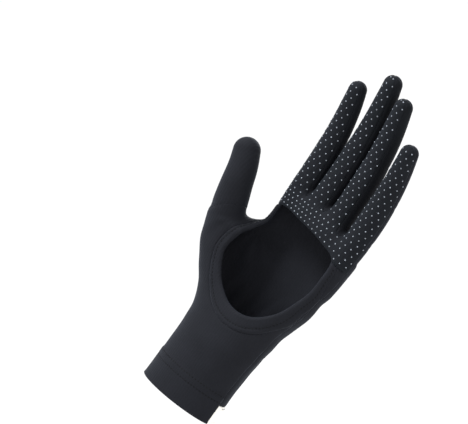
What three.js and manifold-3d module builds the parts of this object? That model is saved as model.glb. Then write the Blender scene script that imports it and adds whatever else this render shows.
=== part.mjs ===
// Sun protection glove for the left hand, in its worn form, in millimetres.
// +Z runs up the hand from the cuff hem, the palm faces -Y and the thumb lies towards -X.
// The origin is the centre of the cuff opening, where the hand goes in.
// The cloth is one hollow shell, cut along its seams into the pieces that the glove is sewn from.
import * as THREE from "three";
import Module from "manifold-3d";
import { mergeVertices } from "three/addons/utils/BufferGeometryUtils.js";

const wasm = await Module();
wasm.setup();

// Cloth
const clothWall = 1.3;
const doubleWall = 1.9;
const seamGap = 0.3;

// Cuff and palm
const bodyLength = 150;
const wristBreadth = 57;
const wristDepth = 39;
const palmBreadth = 70.5;
const palmDepth = 25;
const palmShift = 9.4;
const palmSetback = 8;
const ballBreadth = 27;
const ballForward = 14;
const ballSwellShare = 0.9;
const palmBoxinessShare = 0.26;
const hemHeight = 20;
const bandHeight = 13;
const sideSeamForward = 2;

// Gathers of the wrist elastic, on the back only
const gatherCount = 8;
const gatherDepth = 1.3;
const gatherPull = 1.5;

// Fingers and thumb
const fingerLength = 110;
const fingerThickness = 16.4;
const frontStripHalfAngle = 51;
const backStripHalfAngle = 62;
const outerSeamAngle = 96;
const wedgeReach = 1.15;
const webShare = 0.957;
const webDrop = 8;
const thumbLength = 82;
const thumbThickness = 18;
const thumbSeamAcrossShare = -0.49;
const thumbSeamUpShare = 0.745;
const thumbSeamAngle = 40;
const thumbSeamReach = 13;

// Palm opening
const openingWidth = 58;
const openingHeight = 60;
const openingCentreX = 7.5;
const openingUpShare = 0.6533;
const openingDepth = 2.5;
const facingWidth = 10;

// Facets
const stepsAcrossPalm = 16;
const stepsPerGather = 4;
const tubeSides = 12;

// The body from hem to webs. up: share of bodyLength; palm: 0 for the wrist's size, 1 for the palm's;
// wide, deep: multiples of that size; shift, back: shares of palmShift and palmSetback;
// ball: how far the ball of the thumb stands out, share of ballBreadth and ballForward;
// gather: share of gatherDepth; droop: how far the little finger's side hangs, share of bodyLength.
const bodyRows = [
  { up: 0.0, palm: 0, wide: 1.0, deep: 1.0, shift: 0, back: 0, ball: 0, gather: 0.05, droop: 0 },
  { up: 0.13, palm: 0, wide: 1.0, deep: 1.0, shift: 0.02, back: 0.03, ball: 0, gather: 0.2, droop: 0 },
  { up: 0.24, palm: 0, wide: 1.01, deep: 1.0, shift: 0.06, back: 0.09, ball: 0, gather: 0.75, droop: 0 },
  { up: 0.325, palm: 0.12, wide: 1.03, deep: 0.98, shift: 0.1, back: 0.12, ball: 0, gather: 1.0, droop: 0 },
  { up: 0.375, palm: 0.3, wide: 1.03, deep: 1.02, shift: 0.11, back: 0.14, ball: 0.03, gather: 0.85, droop: 0 },
  { up: 0.43, palm: 0.6, wide: 0.985, deep: 1.1, shift: 0.15, back: 0.18, ball: 0.14, gather: 0.55, droop: 0 },
  { up: 0.5, palm: 0.85, wide: 0.955, deep: 1.15, shift: 0.42, back: 0.28, ball: 0.44, gather: 0.25, droop: 0 },
  { up: 0.6, palm: 1.0, wide: 0.947, deep: 1.13, shift: 0.76, back: 0.5, ball: 0.8, gather: 0, droop: 0 },
  { up: 0.69, palm: 1.0, wide: 0.95, deep: 1.05, shift: 0.87, back: 0.78, ball: 0.9, gather: 0, droop: 0 },
  { up: 0.745, palm: 1.0, wide: 0.965, deep: 1.02, shift: 0.97, back: 0.92, ball: 0.33, gather: 0, droop: 0 },
  { up: 0.8, palm: 1.0, wide: 0.925, deep: 0.99, shift: 1.14, back: 1.0, ball: 0.05, gather: 0, droop: 0.01 },
  { up: 0.87, palm: 1.0, wide: 0.91, deep: 0.9, shift: 1.27, back: 1.0, ball: 0, gather: 0, droop: 0.03 },
  { up: 0.93, palm: 1.0, wide: 0.92, deep: 0.76, shift: 1.16, back: 1.0, ball: 0, gather: 0, droop: 0.062 },
  { up: 0.958, palm: 1.0, wide: 0.91, deep: 0.6, shift: 1.1, back: 1.0, ball: 0, gather: 0, droop: 0.088 },
  { up: 0.984, palm: 1.0, wide: 0.87, deep: 0.36, shift: 1.05, back: 1.0, ball: 0, gather: 0, droop: 0.11 },
];

// The fingers. x: knuckle place across the palm from the palm's middle, share of palmBreadth; back, up: shares of
// palmSetback and bodyLength; long: share of fingerLength; thick: multiple of fingerThickness;
// lean: degrees towards the little finger; twist: degrees that the pad turns the same way.
const fingerRows = [
  { name: "index", x: -0.384, back: 0.95, up: 0.853, long: 0.866, thick: 0.96, lean: 0.1, twist: 8 },
  { name: "middle", x: -0.153, back: 1.05, up: 0.873, long: 0.993, thick: 1.0, lean: 1.9, twist: 0 },
  { name: "ring", x: 0.112, back: 1.0, up: 0.84, long: 0.972, thick: 0.98, lean: 0.4, twist: -4 },
  { name: "little", x: 0.381, back: 0.85, up: 0.787, long: 0.86, thick: 0.98, lean: 2.5, twist: -8 },
];

// One finger from root to tip. along: share of its length; bend: degrees that it has curled by there;
// thick: share of its full thickness.
const fingerStations = [
  { along: -0.12, bend: 0, thick: 0.96 },
  { along: 0.3, bend: 0, thick: 1.02 },
  { along: 0.44, bend: 5, thick: 1.01 },
  { along: 0.58, bend: 9, thick: 0.975 },
  { along: 0.7, bend: 13, thick: 0.915 },
  { along: 0.82, bend: 18, thick: 0.84 },
  { along: 0.94, bend: 21, thick: 0.73 },
];

// The thumb from inside the heel of the hand to its tip. x, y: shares of thumbLength from the body's axis;
// up: share of bodyLength; thick: multiple of thumbThickness.
const thumbRows = [
  { x: -0.35, y: 0.0, up: 0.56, thick: 0.95 },
  { x: -0.475, y: -0.05, up: 0.653, thick: 1.04 },
  { x: -0.509, y: -0.115, up: 0.72, thick: 1.2 },
  { x: -0.527, y: -0.16, up: 0.793, thick: 1.17 },
  { x: -0.556, y: -0.183, up: 0.867, thick: 1.09 },
  { x: -0.589, y: -0.183, up: 0.92, thick: 1.02 },
  { x: -0.636, y: -0.183, up: 0.973, thick: 0.95 },
];

// The palm opening, clockwise seen from the palm. across, up: shares of half the opening's width and height;
// band: width of the facing there, share of facingWidth.
const openingRows = [
  { across: -0.95, up: 1.12, band: 0.3 },
  { across: -0.2, up: 1.14, band: 0.3 },
  { across: 0.45, up: 1.08, band: 0.3 },
  { across: 0.96, up: 0.93, band: 0.42 },
  { across: 1.02, up: 0.45, band: 0.45 },
  { across: 0.98, up: -0.05, band: 0.5 },
  { across: 0.78, up: -0.6, band: 0.75 },
  { across: 0.34, up: -0.99, band: 1.0 },
  { across: -0.22, up: -1.04, band: 1.0 },
  { across: -0.76, up: -0.78, band: 0.8 },
  { across: -1.09, up: -0.27, band: 0.6 },
  { across: -1.06, up: 0.22, band: 0.5 },
  { across: -1.0, up: 0.65, band: 0.3 },
];

// The grip panel's lower edge, in the opening's own shares: along the opening's top, then down to the side.
const gripEdgeRows = [
  { across: -1.0, up: 1.08 },
  { across: -0.2, up: 1.11 },
  { across: 0.45, up: 1.05 },
  { across: 0.93, up: 0.9 },
  { across: 1.32, up: 0.84 },
  { across: 1.9, up: 0.8 },
];

const mix = (a, b, share) => a + (b - a) * share;
const radians = THREE.MathUtils.degToRad;

// A closed surface through rings of equally many points, each ring anticlockwise seen from the far end.
function skin(rings) {
  const sides = rings[0].length;
  const points = rings.flat();
  const faces = [];
  for (let i = 0; i + 1 < rings.length; i++) {
    for (let j = 0; j < sides; j++) {
      const a = i * sides + j;
      const b = i * sides + ((j + 1) % sides);
      faces.push(a, b, b + sides, a, b + sides, a + sides);
    }
  }
  const cap = (first, turn) => {
    const centre = new THREE.Vector3();
    for (let j = 0; j < sides; j++) centre.addScaledVector(points[first + j], 1 / sides);
    points.push(centre);
    for (let j = 0; j < sides; j++) {
      const pair = [first + j, first + ((j + 1) % sides)];
      faces.push(points.length - 1, pair[turn], pair[1 - turn]);
    }
  };
  cap(0, 1);
  cap((rings.length - 1) * sides, 0);
  const geometry = new THREE.BufferGeometry().setFromPoints(points);
  geometry.setIndex(faces);
  return geometry;
}

function solidOf(geometry) {
  const bare = geometry.clone();
  bare.deleteAttribute("normal");
  bare.deleteAttribute("uv");
  const merged = mergeVertices(bare, 1e-4);
  return new wasm.Manifold(
    new wasm.Mesh({
      numProp: 3,
      vertProperties: new Float32Array(merged.attributes.position.array),
      triVerts: new Uint32Array(merged.index.array),
    }),
  );
}

const joined = (solids) => solids.reduce((all, next) => all.add(next));

// Body

function bodySize(row, inset) {
  return {
    a: (mix(wristBreadth, palmBreadth, row.palm) / 2) * row.wide - inset,
    b: (mix(wristDepth, palmDepth, row.palm) / 2) * row.deep - inset,
    x: palmShift * row.shift,
    y: palmSetback * row.back,
    out: ballBreadth * row.ball,
    forward: ballForward * row.ball,
    swell: ballSwellShare * row.ball,
    power: 1 - palmBoxinessShare * row.palm,
  };
}

// A ring of the body: the palm side in even steps, then the back with its gathers.
function bodyRing(row, z, inset) {
  const { a, b, x, y, out, forward, swell, power } = bodySize(row, inset);
  const boxy = (value) => Math.sign(value) * Math.abs(value) ** power;
  const backSteps = gatherCount * stepsPerGather;
  const ring = [];
  const place = (angle, fold) => {
    const across = Math.cos(angle);
    const thumbward = Math.max(0, -across);
    const deep = (b + fold) * (1 + swell * thumbward ** 2);
    const px = x + (a + fold) * boxy(across) - out * thumbward ** 3;
    const py = y + deep * boxy(Math.sin(angle)) - forward * thumbward ** 2;
    const hang = Math.max(0, across) ** 2 * row.droop * bodyLength;
    ring.push(new THREE.Vector3(px, py, z - hang));
  };
  for (let i = 0; i < stepsAcrossPalm; i++) place(Math.PI * (1 + i / stepsAcrossPalm), 0);
  for (let i = 0; i < backSteps; i++) {
    const share = i / backSteps;
    const window = Math.sin(Math.PI * share) ** 0.6;
    const wave = Math.cos(2 * Math.PI * gatherCount * share) * gatherDepth - gatherPull;
    place(Math.PI * share, row.gather * window * wave);
  }
  return ring;
}

// The body's solid, set in by inset and starting at a height below or at the hem.
function bodySolid(inset, from) {
  const last = bodyRows.length - 1;
  const rings = bodyRows.map((row, i) => bodyRing(row, row.up * bodyLength - (i === last ? inset : 0), inset));
  if (from < 0) rings.unshift(bodyRing(bodyRows[0], from, inset));
  return solidOf(skin(rings));
}

// Tubes of the fingers and the thumb

// Centre, heading and thickness of each station of a finger, with its pad direction.
function fingerPath(finger) {
  const length = fingerLength * finger.long;
  const thickness = fingerThickness * finger.thick;
  const start = new THREE.Vector3(
    palmShift + finger.x * palmBreadth,
    palmSetback * finger.back,
    bodyLength * finger.up,
  );
  const lean = radians(finger.lean);
  const heading = (bend) =>
    new THREE.Vector3(
      Math.sin(lean) * Math.cos(radians(bend)),
      -Math.sin(radians(bend)),
      Math.cos(lean) * Math.cos(radians(bend)),
    );
  const path = [];
  const at = start.clone();
  let reached = 0;
  for (const station of fingerStations) {
    const along = heading(station.bend);
    at.addScaledVector(along, (station.along - reached) * length);
    reached = station.along;
    const pad = new THREE.Vector3(0, -1, 0).addScaledVector(along, along.y).normalize();
    pad.applyAxisAngle(along, radians(finger.twist));
    path.push({ at: at.clone(), along, pad, radius: (thickness * station.thick) / 2 });
  }
  return path;
}

function thumbPath(rows) {
  const points = rows.map(
    (row) => new THREE.Vector3(row.x * thumbLength, row.y * thumbLength, row.up * bodyLength),
  );
  return rows.map((row, i) => {
    const before = points[Math.max(0, i - 1)];
    const after = points[Math.min(points.length - 1, i + 1)];
    const along = after.clone().sub(before).normalize();
    const pad = new THREE.Vector3(0, -1, 0).addScaledVector(along, along.y).normalize();
    return { at: points[i], along, pad, radius: (thumbThickness * row.thick) / 2 };
  });
}

// The ring of points at given angles from the pad towards the little finger, at a station of a path.
function ringAt(station, radius, angles) {
  const side = station.along.clone().cross(station.pad);
  return angles.map((angle) =>
    station.at
      .clone()
      .addScaledVector(station.pad, radius * Math.cos(angle))
      .addScaledVector(side, radius * Math.sin(angle)),
  );
}

const fullTurn = Array.from({ length: tubeSides }, (_, i) => (2 * Math.PI * i) / tubeSides);

// A tube with a round end, whose wall is set in by inset.
function tubeSolid(path, inset) {
  const rings = path.map((station) => ringAt(station, station.radius - inset, fullTurn));
  const end = path[path.length - 1];
  const radius = end.radius - inset;
  for (const turn of [32, 66]) {
    const station = { ...end, at: end.at.clone().addScaledVector(end.along, radius * Math.sin(radians(turn))) };
    rings.push(ringAt(station, radius * Math.cos(radians(turn)), fullTurn));
  }
  return solidOf(skin(rings));
}

const fingerPaths = fingerRows.map(fingerPath);
const thumb = thumbPath(thumbRows);

const tubes = (inset) => joined([...fingerPaths, thumb].map((path) => tubeSolid(path, inset)));
const full = (inset, from) => bodySolid(inset, from).add(tubes(inset));
const hollow = full(clothWall, -5 * clothWall);
const cloth = full(0, 0).subtract(hollow);
const doubled = full(clothWall - doubleWall, 0).subtract(hollow);

// Regions that the cloth is cut into. A positive grow moves a region's boundary outwards by that much.

const far = 2 * bodyLength;

// A prism over an outline drawn in a plane, running along the plane's third axis.
function prism(outline, from, to, basis) {
  const shape = new THREE.Shape(outline.map(([u, v]) => new THREE.Vector2(u, v)));
  const geometry = new THREE.ExtrudeGeometry(shape, { depth: to - from, bevelEnabled: false });
  geometry.translate(0, 0, from);
  geometry.applyMatrix4(basis);
  return solidOf(geometry);
}

const axisX = new THREE.Vector3(1, 0, 0);
const axisY = new THREE.Vector3(0, 1, 0);
const axisZ = new THREE.Vector3(0, 0, 1);
const fromSide = new THREE.Matrix4().makeBasis(axisY, axisZ, axisX);
const fromPalm = new THREE.Matrix4().makeBasis(axisX, axisZ, axisY.clone().negate());

// Everything on the palm's side of the side seams.
function palmSide(grow) {
  const line = bodyRows.map((row) => [palmSetback * row.back - sideSeamForward + grow, row.up * bodyLength]);
  const bottom = [line[0][0], -far];
  const top = [line[line.length - 1][0], far];
  return prism([[-far, -far], bottom, ...line, top, [-far, far]], -far, far, fromSide);
}

// Everything below a height.
const below = (height) => prism([[-far, -far], [far, -far], [far, height], [-far, height]], -far, far, fromPalm);

const openingPoint = (row) => [
  openingCentreX + (row.across * openingWidth) / 2,
  openingUpShare * bodyLength + (row.up * openingHeight) / 2,
];

// The opening's outline moved outwards by grow, and by the facing's own width where facing is 1.
function openingPrism(grow, facing) {
  const corners = openingRows.map((row) => new THREE.Vector3(...openingPoint(row), row.band * facingWidth));
  const curve = new THREE.CatmullRomCurve3(corners, true, "centripetal");
  const steps = 2 * openingRows.length;
  const outline = [];
  for (let i = 0; i < steps; i++) {
    const at = curve.getPoint(i / steps);
    const along = curve.getTangent(i / steps).setZ(0).normalize();
    const move = grow + facing * at.z;
    outline.push([at.x - along.y * move, at.y + along.x * move]);
  }
  return prism(outline, -openingDepth, far, fromPalm);
}

// Everything above the grip panel's lower edge.
function aboveGripEdge(grow) {
  const line = gripEdgeRows.map(openingPoint).map(([u, v]) => [u, v - grow]);
  const first = [-far, line[0][1]];
  const last = [far, line[line.length - 1][1]];
  return prism([first, ...line, last, [far, far], [-far, far]], -far, far, fromPalm);
}

// The side of the thumb's seam where the thumb lies.
function thumbSide(grow) {
  const tilt = radians(thumbSeamAngle);
  const [c, s] = [Math.cos(tilt), Math.sin(tilt)];
  const at = (along, out) => [
    thumbSeamAcrossShare * thumbLength + along * c - out * s,
    thumbSeamUpShare * bodyLength + along * s + out * c,
  ];
  const end = at(thumbSeamReach, -grow);
  return prism([at(-far, -grow), end, [end[0] + grow, far], [-2 * far, far]], -far, far, fromPalm);
}

// The wedge of a finger between two angles from its pad, from its root out past its tip.
function wedge(path, from, to, grow) {
  const steps = 6;
  const last = path[path.length - 1];
  const beyond = { ...last, at: last.at.clone().addScaledVector(last.along, 3 * last.radius) };
  const rings = [...path, beyond].map((station) => {
    const slack = grow / station.radius;
    const low = radians(from) - slack;
    const high = radians(to) + slack;
    const angles = Array.from({ length: steps + 1 }, (_, i) => mix(low, high, i / steps));
    return [station.at.clone(), ...ringAt(station, station.radius * wedgeReach + 2 * grow, angles)];
  });
  return solidOf(skin(rings));
}

const lastFinger = fingerPaths.length - 1;
const gripFrom = (i) => (i === 0 ? -outerSeamAngle : -frontStripHalfAngle);
const gripTo = (i) => (i === lastFinger ? outerSeamAngle : frontStripHalfAngle);
const backFrom = (i) => (i === lastFinger ? outerSeamAngle : 180 - backStripHalfAngle);
const backTo = (i) => (i === 0 ? 360 - outerSeamAngle : 180 + backStripHalfAngle);

// Everything below the webs, whose line drops towards the little finger.
function underWebs(grow) {
  const top = bodyLength * webShare + grow;
  const side = palmShift + palmBreadth / 2;
  const line = [[far, top - webDrop], [side, top - webDrop], [palmShift, top], [-far, top]];
  return prism([[-far, -far], [far, -far], ...line], -far, far, fromPalm);
}

function gripRegion(grow) {
  const strips = joined(fingerPaths.map((path, i) => wedge(path, gripFrom(i), gripTo(i), grow)));
  return strips.add(palmSide(grow).intersect(underWebs(grow))).intersect(aboveGripEdge(grow));
}

function backRegion(grow) {
  const strips = joined(fingerPaths.map((path, i) => wedge(path, backFrom(i), backTo(i), grow)));
  return strips.add(underWebs(grow).subtract(palmSide(-grow)));
}

const bandRegion = (grow) => below(bandHeight + grow).subtract(palmSide(-grow));
const facingRegion = (grow) => openingPrism(grow, 1).subtract(aboveGripEdge(-grow));

// Cutting out, with half of the seam gap on each side of every cut

const half = seamGap / 2;
const group = new THREE.Group();

function addPiece(name, geometry, color, roughness) {
  const material = new THREE.MeshStandardMaterial({ color, roughness, metalness: 0 });
  geometry.computeVertexNormals();
  const mesh = new THREE.Mesh(geometry, material);
  mesh.name = name;
  group.add(mesh);
}

// The separate bodies of a solid, largest first.
function bodiesOf(solid) {
  const mesh = solid.getMesh();
  const owner = Array.from({ length: mesh.vertProperties.length / 3 }, (_, i) => i);
  const rootOf = (i) => {
    while (owner[i] !== i) i = owner[i] = owner[owner[i]];
    return i;
  };
  for (let t = 0; t < mesh.triVerts.length; t += 3) {
    owner[rootOf(mesh.triVerts[t + 1])] = rootOf(mesh.triVerts[t]);
    owner[rootOf(mesh.triVerts[t + 2])] = rootOf(mesh.triVerts[t]);
  }
  const bodies = new Map();
  for (let t = 0; t < mesh.triVerts.length; t += 3) {
    const root = rootOf(mesh.triVerts[t]);
    if (!bodies.has(root)) bodies.set(root, []);
    bodies.get(root).push(...mesh.triVerts.slice(t, t + 3));
  }
  const point = (i) => new THREE.Vector3().fromArray(mesh.vertProperties, 3 * i);
  const volumeOf = (faces) => {
    let sum = 0;
    for (let t = 0; t < faces.length; t += 3) {
      sum += point(faces[t]).dot(point(faces[t + 1]).cross(point(faces[t + 2]))) / 6;
    }
    return sum;
  };
  return [...bodies.values()]
    .map((faces) => {
      const geometry = new THREE.BufferGeometry().setFromPoints(faces.map(point));
      return { volume: volumeOf(faces), geometry: mergeVertices(geometry, 1e-6) };
    })
    .sort((one, other) => other.volume - one.volume);
}

const turnedHem = doubled.intersect(palmSide(0)).intersect(below(hemHeight));
let rest = cloth.add(turnedHem).subtract(openingPrism(0, 0));
const facingCloth = doubled.subtract(openingPrism(0, 0));

function cutOut(region, from) {
  const piece = bodiesOf(from.intersect(region(-half)))[0].geometry;
  rest = rest.subtract(region(half));
  return piece;
}

const charcoal = 0x26292e;
const cream = 0xe8e6e2;
addPiece("cuff_band", cutOut(bandRegion, doubled), cream, 0.85);
addPiece("thumb", cutOut(thumbSide, rest), charcoal, 0.8);
addPiece("grip_panel", cutOut(gripRegion, rest), charcoal, 0.8);
addPiece("opening_facing", cutOut(facingRegion, facingCloth), charcoal, 0.75);
addPiece("back_panel", cutOut(backRegion, rest), charcoal, 0.8);

const [heel, ...others] = bodiesOf(rest).map((body) => body.geometry);
addPiece("palm_panel", heel, charcoal, 0.8);

// The strips between the fingers are what is left above the webs, from the index finger's side on.
const between = others.slice(0, fingerRows.length - 1);
for (const strip of between) strip.computeBoundingBox();
between.sort((one, other) => one.boundingBox.min.x - other.boundingBox.min.x);
between.forEach((strip, i) => {
  addPiece(`fourchette_${fingerRows[i].name}_${fingerRows[i + 1].name}`, strip, charcoal, 0.85);
});

export default group;
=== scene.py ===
"""Sun protection glove for the left hand, in its worn form, in millimetres until a mesh is made."""

import math

import bpy
import numpy as np
import openvdb
from mathutils import Matrix, Vector
from mathutils.bvhtree import BVHTree
from mathutils.kdtree import KDTree


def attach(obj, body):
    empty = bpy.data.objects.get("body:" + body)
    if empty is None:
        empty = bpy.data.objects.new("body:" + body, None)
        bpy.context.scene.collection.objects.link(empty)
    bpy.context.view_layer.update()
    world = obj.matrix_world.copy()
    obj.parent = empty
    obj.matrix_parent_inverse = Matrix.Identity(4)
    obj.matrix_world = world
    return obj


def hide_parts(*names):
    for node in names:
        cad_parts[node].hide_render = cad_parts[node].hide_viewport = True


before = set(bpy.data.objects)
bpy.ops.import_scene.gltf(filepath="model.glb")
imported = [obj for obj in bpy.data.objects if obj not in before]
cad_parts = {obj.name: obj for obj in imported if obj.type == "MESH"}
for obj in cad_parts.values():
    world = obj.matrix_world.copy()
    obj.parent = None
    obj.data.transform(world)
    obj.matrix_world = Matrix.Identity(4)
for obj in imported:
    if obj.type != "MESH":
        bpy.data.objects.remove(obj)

bl_info = {
    "name": "Sun protection glove",
    "version": (1, 0, 0),
    "blender": (4, 5, 0),
    "location": "3D View > Sidebar > Glove",
    "description": "Builds a knitted open-palm glove, piece by piece, and the stage it stands on",
    "category": "Object",
}

# Sizes in mm. Shares in the tables are of these.
BODY_LENGTH = 150.0
WRIST = (57.0, 39.0)
PALM = (70.5, 25.0)
PALM_SHIFT = 9.4
PALM_SETBACK = 8.0
BALL_BREADTH = 27.0
BALL_FORWARD = 14.0
BALL_SWELL = 0.9
PALM_BOXINESS = 0.26
SEAM_FORWARD = 2.0
HEM_HEIGHT = 20.0
BAND_HEIGHT = 13.0
GATHERS = 8
FINGER_LENGTH = 110.0
FINGER_THICKNESS = 16.4
FRONT_HALF = 51.0
BACK_HALF = 62.0
OUTER_SEAM = 96.0
WEB_SHARE = 0.957
WEB_DROP = 8.0
THUMB_LENGTH = 82.0
THUMB_THICKNESS = 18.0
THUMB_SEAM = {"x": -0.49, "up": 0.745, "tilt": 40.0, "reach": 13.0}
OPENING = {"width": 58.0, "height": 60.0, "x": 7.5, "z": 98.0, "depth": 2.5}
FACING_WIDTH = 10.0
VOXEL = 0.85
# The cloth's small relief: a seam's groove and its half width, the turned hem, and the hem's lower edge
SEAM_GROOVE = 0.3
SEAM_WIDTH = 0.6
HEM_PROUD = 0.5
LOWER_EDGE = 0.45
# Heights of the stitched rows of the hem and of the gathers, how far the band's row is below its top,
# and the facing's stitched line as a share of its width
HEM_ROWS = (14.6, 18.9)
GATHER_ROWS = (48.5, 52.0)
GATHER_LINE = 50.0
BAND_ROW_DROP = 1.3
FACING_STITCH = 0.68
# Where dots start to follow the fingers, the grip panel's lowest point, how close the dots stand between
# the two on the thumb's side, and how far they keep from a seam
FINGERS_FROM = 145.0
GRIP_LOWEST = 112.0
CLOSER = 0.76
DOT_MARGIN = 0.7
# The picture's view: angles in degrees; the centre and the plane of true scale in mm from the origin
VIEW = {
    "azimuth": 35.0,
    "rise": 8.0,
    "lean": 34.6,
    "mm_per_pixel": 0.604,
    "pixels": 468,
    "lens": 400.0,
    "sensor": 36.0,
    "centre": (-36.6, 111.9),
    "plane": 16.0,
}
# name, place in metres, watts, size and colour of each lamp
LAMPS = [
    ("key", (-0.65, -0.6, 0.8), 18.0, 0.5, (0.93, 0.96, 1.0)),
    ("fill", (0.9, -0.5, 0.3), 3.0, 0.8, (1.0, 1.0, 1.0)),
    ("rim", (-0.5, 0.8, 0.5), 8.0, 0.6, (1.0, 1.0, 1.0)),
]
# half side and height of the floor, in mm
FLOOR = (200000.0, -400.0)

# The body from hem to webs: height, palm share, breadth, depth, shift, setback, ball, gather, droop
BODY_ROWS = [
    (0.0, 0, 1.0, 1.0, 0, 0, 0, 0.05, 0),
    (0.13, 0, 1.0, 1.0, 0.02, 0.03, 0, 0.2, 0),
    (0.24, 0, 1.01, 1.0, 0.06, 0.09, 0, 0.75, 0),
    (0.325, 0.12, 1.03, 0.98, 0.1, 0.12, 0, 1.0, 0),
    (0.375, 0.3, 1.03, 1.02, 0.11, 0.14, 0.03, 0.85, 0),
    (0.43, 0.6, 0.985, 1.1, 0.15, 0.18, 0.14, 0.55, 0),
    (0.5, 0.85, 0.955, 1.15, 0.42, 0.28, 0.44, 0.25, 0),
    (0.6, 1.0, 0.947, 1.13, 0.76, 0.5, 0.8, 0, 0),
    (0.69, 1.0, 0.937, 1.05, 0.83, 0.78, 0.9, 0, 0),
    (0.745, 1.0, 0.948, 1.02, 0.91, 0.92, 0.33, 0, 0),
    (0.8, 1.0, 0.918, 0.99, 1.07, 1.0, 0.05, 0, 0.01),
    (0.87, 1.0, 0.908, 0.88, 1.18, 1.0, 0, 0, 0.03),
    (0.93, 1.0, 0.92, 0.76, 1.16, 1.0, 0, 0, 0.062),
    (0.958, 1.0, 0.91, 0.6, 1.1, 1.0, 0, 0, 0.088),
    (0.984, 1.0, 0.87, 0.36, 1.05, 1.0, 0, 0, 0.11),
]
BODY_COLUMNS = ("up", "palm", "wide", "deep", "shift", "back", "ball", "gather", "droop")

# name, knuckle across the palm, setback, height, length, thickness, lean, twist
FINGERS = [
    ("index", -0.384, 0.95, 0.853, 0.866, 0.96, 0.1, 8),
    ("middle", -0.153, 1.05, 0.873, 0.993, 1.0, 1.9, 0),
    ("ring", 0.112, 1.0, 0.84, 0.972, 0.98, 0.4, -4),
    ("little", 0.381, 0.85, 0.787, 0.86, 0.98, 2.5, -8),
]
# along the finger, bend in degrees, thickness
STATIONS = [
    (-0.12, 0, 0.84),
    (0.3, 0, 1.05),
    (0.44, 5, 1.04),
    (0.58, 9, 0.985),
    (0.7, 13, 0.915),
    (0.82, 18, 0.84),
    (0.94, 21, 0.73),
]
# x and y in shares of the thumb's length, height, thickness
THUMB_ROWS = [
    (-0.35, 0.0, 0.56, 0.95),
    (-0.475, -0.05, 0.653, 1.04),
    (-0.509, -0.115, 0.72, 1.2),
    (-0.527, -0.16, 0.793, 1.17),
    (-0.556, -0.183, 0.867, 1.09),
    (-0.589, -0.183, 0.92, 1.02),
    (-0.636, -0.183, 0.973, 0.95),
]
# across and up in shares of half the opening, facing width
OPENING_ROWS = [
    (-0.95, 1.12, 0.3),
    (-0.2, 1.14, 0.3),
    (0.45, 1.08, 0.3),
    (0.96, 0.93, 0.42),
    (1.02, 0.45, 0.45),
    (0.98, -0.05, 0.5),
    (0.78, -0.6, 0.75),
    (0.34, -0.99, 1.0),
    (-0.22, -1.04, 1.0),
    (-0.76, -0.78, 0.8),
    (-1.09, -0.27, 0.6),
    (-1.06, 0.22, 0.5),
    (-1.0, 0.65, 0.3),
]
GRIP_EDGE_ROWS = [(-1.0, 1.08), (-0.2, 1.11), (0.45, 1.05), (0.93, 0.9), (1.32, 0.84), (1.9, 0.8)]
# share up the finger, width and depth of a crease
CREASES = [(0.36, 0.012, 0.16), (0.4, 0.016, 0.22), (0.66, 0.012, 0.2), (0.7, 0.01, 0.12)]


def smooth_through(xs, ys, at):
    """A curve without overshoot through points, as monotone cubics."""
    xs, ys, at = (np.asarray(v, float) for v in (xs, ys, at))
    step = np.diff(xs)
    slope = np.diff(ys) / step
    tangent = np.zeros(len(xs))
    tangent[0], tangent[-1] = slope[0], slope[-1]
    same = slope[:-1] * slope[1:] > 0
    pair = slope[:-1] + slope[1:]
    tangent[1:-1] = np.where(same, 2 * slope[:-1] * slope[1:] / np.where(same, pair, 1), 0)
    i = np.clip(np.searchsorted(xs, at) - 1, 0, len(step) - 1)
    t = np.clip((at - xs[i]) / step[i], 0, 1)
    h = step[i]
    return (
        (2 * t**3 - 3 * t**2 + 1) * ys[i]
        + (t**3 - 2 * t**2 + t) * h * tangent[i]
        + (-2 * t**3 + 3 * t**2) * ys[i + 1]
        + (t**3 - t**2) * h * tangent[i + 1]
    )


def ease(low, high, value):
    """0 below low, 1 above high, smooth between."""
    t = np.clip((value - low) / (high - low), 0, 1)
    return t * t * (3 - 2 * t)


def body_at(z):
    """The body's columns at heights z, in mm."""
    rows = np.array(BODY_ROWS, float)
    up = np.clip(np.asarray(z, float) / BODY_LENGTH, 0, 1)
    c = {name: smooth_through(rows[:, 0], rows[:, i], up) for i, name in enumerate(BODY_COLUMNS)}
    a = (WRIST[0] + (PALM[0] - WRIST[0]) * c["palm"]) / 2 * c["wide"]
    b = (WRIST[1] + (PALM[1] - WRIST[1]) * c["palm"]) / 2 * c["deep"]
    return {
        "a": a,
        "b": b,
        "x": PALM_SHIFT * c["shift"],
        "y": PALM_SETBACK * c["back"],
        "out": BALL_BREADTH * c["ball"],
        "forward": BALL_FORWARD * c["ball"],
        "swell": BALL_SWELL * c["ball"],
        "power": 1 - PALM_BOXINESS * c["palm"],
        "gather": c["gather"],
        "droop": c["droop"] * BODY_LENGTH,
    }


def body_ring(s, i, count=96):
    """The ring of the body at the i-th height of the columns s."""
    angle = np.linspace(0, 2 * np.pi, count, endpoint=False)
    c, n = np.cos(angle), np.sin(angle)
    thumbward = np.maximum(0, -c)

    def boxy(v):
        return np.sign(v) * np.abs(v) ** s["power"][i]

    deep = s["b"][i] * (1 + s["swell"][i] * thumbward**2)
    x = s["x"][i] + s["a"][i] * boxy(c) - s["out"][i] * thumbward**3
    y = s["y"][i] + deep * boxy(n) - s["forward"][i] * thumbward**2
    return np.stack([x, y], 1)


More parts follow.
